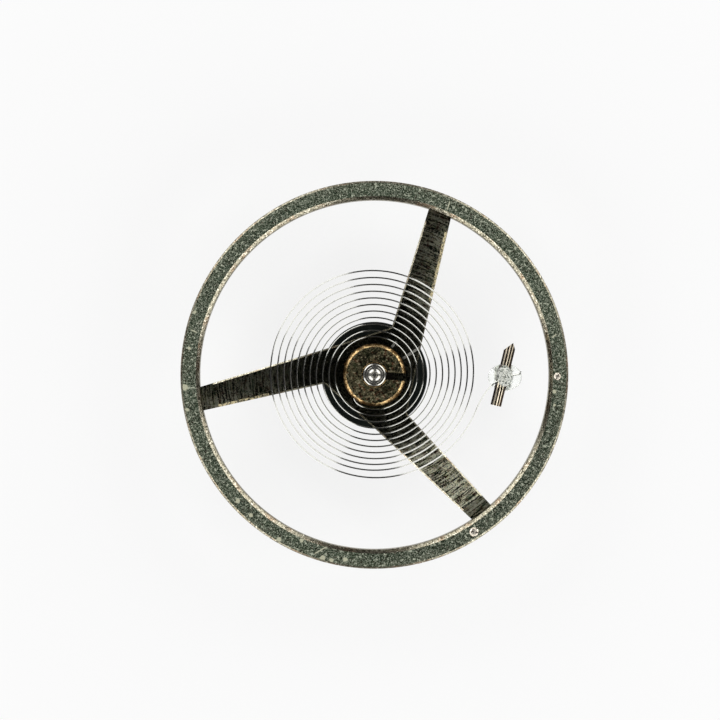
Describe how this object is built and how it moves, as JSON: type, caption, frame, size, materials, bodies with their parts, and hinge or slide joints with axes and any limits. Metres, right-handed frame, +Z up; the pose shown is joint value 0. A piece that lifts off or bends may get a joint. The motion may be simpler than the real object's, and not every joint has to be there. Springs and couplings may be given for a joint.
{
  "type": "watch balance wheel complete with hairspring",
  "caption": "Watch balance: rim on tapering swept arms, staff with fine pivots, double roller, split collet and a flat spiral hairspring that ends in a stud.",
  "frame": {"origin": "end of the lower pivot, on the axis of the balance staff", "axes": "+Z up the staff towards the upper pivot and the hairspring; +X and +Y in the plane of the wheel, +X close to the side where the stud lies"},
  "size_m": [0.01, 0.01, 0.0032],
  "materials": {
    "wheel_alloy": "turned, matt with a bright bevel",
    "hardened_steel": "polished",
    "roller_bronze": "flat polished, reflecting dark",
    "ruby": "polished synthetic ruby",
    "shellac": "glossy amber cement",
    "collet_brass": "turned brass",
    "spring_alloy": "rolled strip",
    "stud_brass": "gilt",
    "clear_resin": "clear cement"
  },
  "bodies": {
    "stud_assembly": {"stud": "stud_brass", "stud_bead": "clear_resin", "hairspring": "spring_alloy"},
    "balance": {"balance_wheel": "wheel_alloy", "balance_staff": "hardened_steel", "impulse_roller": "roller_bronze", "safety_roller": "roller_bronze", "impulse_jewel": "ruby", "jewel_shellac": "shellac", "collet": "collet_brass", "collet_pin": "collet_brass"}
  },
  "joints": [
    {"name": "balance_swing", "type": "hinge", "parent": "stud_assembly", "child": "balance", "pos_m": [0, 0, 0.00201], "axis": [0, 0, 1], "range_deg": [-315, 315], "stiffness_Nm_per_rad": 0.00000083, "deforming": ["hairspring"]}
  ]
}
